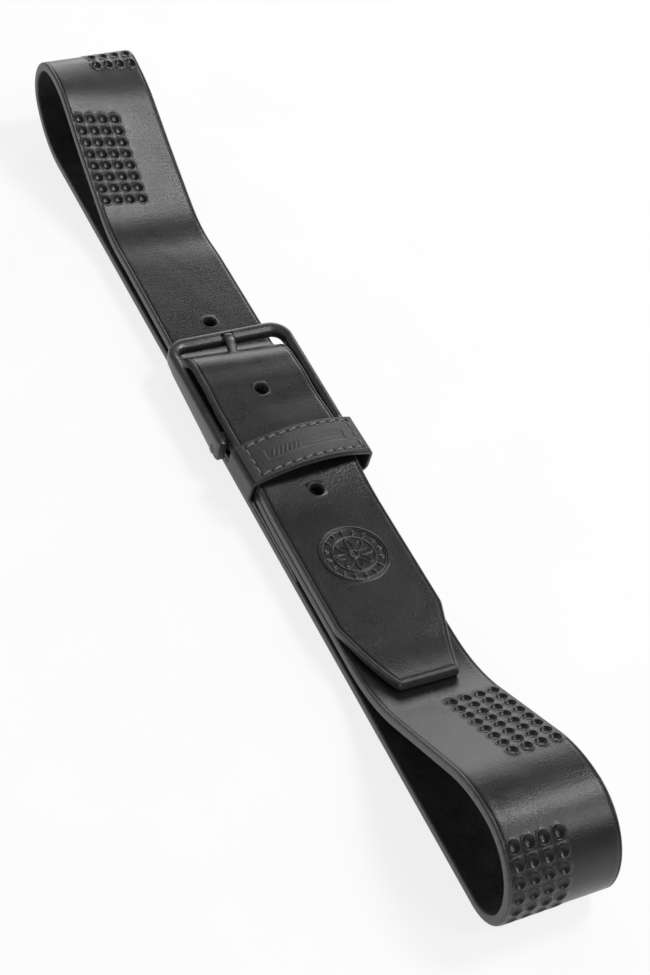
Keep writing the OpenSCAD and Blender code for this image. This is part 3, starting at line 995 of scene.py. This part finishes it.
def stitch_places():
    """[x, y, turn] of each stitch: two long rows and a short row at each end."""
    rows = int((PATCH_HALF - STITCH_EDGE) / STITCH_PITCH)
    x = PATCH_L / 2 - STITCH_EDGE
    places = [(side * x, (k + 0.5) * STITCH_PITCH, 90) for k in range(-rows, rows) for side in (-1, 1)]
    places += [(k * STITCH_PITCH, side * rows * STITCH_PITCH, 0) for k in (-1, 0, 1) for side in (-1, 1)]
    return places


def panel(x, y):
    """1 inside the long recess in the patch's middle, 0 outside."""
    d = np.maximum(np.abs(x) - 2.3, (np.abs(y) - 15.5))
    return 1 / (1 + np.exp(d * 7))


def patch_height(x, y):
    """Height of the patch's upper face above the band: soft edge, stitch channel, recess with ornament."""
    half_x, half_y = PATCH_L / 2, PATCH_HALF
    edge = np.minimum(half_x - np.abs(x), half_y - np.abs(y))
    rows = int((PATCH_HALF - STITCH_EDGE) / STITCH_PITCH) * STITCH_PITCH
    to_seam = np.maximum(np.abs(x) - (half_x - STITCH_EDGE), np.abs(y) - rows)
    channel = 0.28 * np.exp(-(to_seam / 0.55) ** 2)
    holes = 0
    for row_x in (half_x - STITCH_EDGE, STITCH_EDGE - half_x):
        along = np.mod(y + STITCH_PITCH / 2, STITCH_PITCH) - STITCH_PITCH / 2
        holes = holes + 0.55 * np.exp(-((x - row_x) ** 2 + along ** 2) / 0.5 ** 2) * (np.abs(y) < rows + 0.5)
    dashes = np.abs(np.mod(y + 0.5 * x, 1.7) - 0.85)
    ornament = 0.28 / (1 + np.exp((dashes - 0.32) * 16)) / (1 + np.exp((np.abs(x) - 1.3) * 8))
    ornament = ornament * (1 / (1 + np.exp((y + 2) * 3))) * (np.abs(y) < 14)
    rules = 0.22 * (np.exp(-((np.abs(x) - 1.0) / 0.3) ** 2)) / (1 + np.exp(-(y - 1) * 3)) * (np.abs(y) < 14)
    recess = panel(x, y)
    rim = 0.08 * 4 * recess * (1 - recess)
    return PATCH_T - channel - holes - recess * (0.3 - ornament - rules) + rim - rounding(edge, PATCH_EDGE)


def patch_lines(half, step):
    """Places of the patch's grid lines: close together at the soft edges, and even between them."""
    edge = [0, 0.05, 0.16, 0.3, PATCH_EDGE]
    inner = half - PATCH_EDGE
    count = round(2 * inner / step)
    return np.array([-half + d for d in edge] + list(np.linspace(-inner, inner, count + 1))[1:-1]
                    + [half - d for d in reversed(edge)])


def make_keeper_patch(finish):
    mesh = Mesh()
    xs, ys = patch_lines(PATCH_L / 2, 0.25), patch_lines(PATCH_HALF, 0.27)
    X, Y = np.meshgrid(xs, ys, indexing="ij")
    top = np.array(mesh.add(leaning(on_arch(X, Y, patch_height(X, Y))))).reshape(X.shape)
    low = np.array(mesh.add(leaning(on_arch(X, Y, np.full(X.shape, 0.02))))).reshape(X.shape)
    for face in (top, low):
        for i in range(len(xs) - 1):
            mesh.band(list(face[i]), list(face[i + 1]), closed=False)
    loop = block_loop(0, len(xs) - 1, 0, len(ys) - 1)
    mesh.band([top[p] for p in loop], [low[p] for p in loop])
    patch = mesh.make("keeper_patch_leather", [finish])
    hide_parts("keeper_patch")
    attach(patch, "keeper")
    return patch


def make_keeper_stitches(finish):
    """Each stitch is a plump slanted float that dips into the leather at both ends."""
    mesh = Mesh()
    for x, y, turn in stitch_places():
        slant = 12 if turn == 90 else 8
        c, s = cosd(turn + slant), sind(turn + slant)
        rings = []
        for k in range(11):
            t = 2 * k / 10 - 1
            r = 0.42 * math.sqrt(max(1 - abs(t) ** 3, 0.05))
            dip = 0.5 * abs(t) ** 2.5
            ring = []
            for a in range(0, 360, 45):
                side, up = r * cosd(a), r * 0.9 * sind(a)
                px = x + c * t * STITCH_L / 2 - s * side
                py = y + s * t * STITCH_L / 2 + c * side
                ring.append(on_arch(px, py, PATCH_T - 0.08 - dip + up))
            rings.append(leaning(ring))
        loft(mesh, rings)
    stitches = mesh.make("keeper_stitches", [finish])
    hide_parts("keeper_patch_stitches")
    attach(stitches, "keeper")
    return stitches


# ---------------------------------------------------------------- the studio

CAMERA_AZIMUTH = 54.267
CAMERA_ELEVATION = 46.051
CAMERA_ROLL = 14.174
CAMERA_DISTANCE = 0.7
CAMERA_TARGET = Vector((0.020651, 0.010852, 0))
CAMERA_LENS = 71.96
FLOOR_GLOW = 0.82
FLOOR_HALF = 4


def make_camera():
    level = cosd(CAMERA_ELEVATION)
    back = Vector((sind(CAMERA_AZIMUTH) * level, -cosd(CAMERA_AZIMUTH) * level, sind(CAMERA_ELEVATION)))
    right = (-back).cross(Vector((0, 0, 1))).normalized()
    up = right.cross(-back)
    turned_right = right * cosd(CAMERA_ROLL) + up * sind(CAMERA_ROLL)
    turned_up = up * cosd(CAMERA_ROLL) - right * sind(CAMERA_ROLL)
    data = bpy.data.cameras.new("camera")
    data.lens = CAMERA_LENS
    data.sensor_width = 36
    camera = bpy.data.objects.new("camera", data)
    matrix = Matrix((turned_right, turned_up, back)).transposed().to_4x4()
    matrix.translation = CAMERA_TARGET + back * CAMERA_DISTANCE
    camera.matrix_world = matrix
    bpy.context.scene.collection.objects.link(camera)
    bpy.context.scene.camera = camera


def area_light(name, at, size, power):
    """A rectangular light that faces the middle of the belt."""
    data = bpy.data.lights.new(name, "AREA")
    data.shape = "RECTANGLE"
    data.size, data.size_y = size
    data.energy = power
    light = bpy.data.objects.new(name, data)
    light.location = at
    light.rotation_euler = (-Vector(at)).to_track_quat("-Z", "Y").to_euler()
    bpy.context.scene.collection.objects.link(light)


def make_studio():
    mesh = bpy.data.meshes.new("floor")
    corners = [(x * FLOOR_HALF, y * FLOOR_HALF, 0) for x, y in ((-1, -1), (1, -1), (1, 1), (-1, 1))]
    mesh.from_pydata(corners, [], [(0, 1, 2, 3)])
    mesh.materials.append(floor_paper())
    floor = bpy.data.objects.new("floor", mesh)
    bpy.context.scene.collection.objects.link(floor)
    bpy.context.scene.world = studio_world()
    area_light("overhead", (-0.19, 1.12, 1.68), (0.5, 0.45), 15)
    area_light("side", (0.78, 0.71, 1.22), (0.5, 0.5), 5)
    area_light("window", (-1.35, 0.78, 0.42), (1.2, 0.6), 7.5)


def studio_world():
    """A white room, brightest along its walls."""
    world = bpy.data.worlds.new("studio")
    world.use_nodes = True
    nodes, links = world.node_tree.nodes, world.node_tree.links
    source = nodes.new("ShaderNodeTexCoord")
    split = nodes.new("ShaderNodeSeparateXYZ")
    links.new(source.outputs["Generated"], split.inputs[0])
    shade = ramp(nodes, links, split.outputs["Z"],
                 [(0.0, grey(0.6)), (0.3, grey(0.4)), (0.5, grey(0.24)), (1.0, grey(0.2))])
    links.new(shade, nodes["Background"].inputs["Color"])
    nodes["Background"].inputs["Strength"].default_value = 1.0
    return world


# ---------------------------------------------------------------- putting it together

make_camera()
make_studio()

strap_grain = leather("strap_grain", 0.009, 0.28, 0.55, 0.045, wrinkles=0.9)
keeper_grain = leather("keeper_grain", 0.05, 0.46, 0.9, 0.12)
black_metal = metal("satin_black_metal", 0.075, 0.29)
make_strap(strap_grain, edge_paint(), flesh_side())
make_buckle(black_metal)
make_prong(black_metal)
make_keeper_band(keeper_grain)
make_keeper_patch(keeper_grain)
make_keeper_stitches(thread("keeper_thread", 0.2))

carried_over = {"heel_bar": black_metal, "turnback_front_stitches": thread("strap_thread", 0.03),
                "turnback_rear_stitches": thread("strap_thread_rear", 0.03),
                "keeper_staples": metal("staple_wire", 0.5, 0.25)}
for name, finish in carried_over.items():
    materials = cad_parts[name].data.materials
    materials.clear()
    materials.append(finish)

bpy.context.scene.view_settings.view_transform = "Standard"
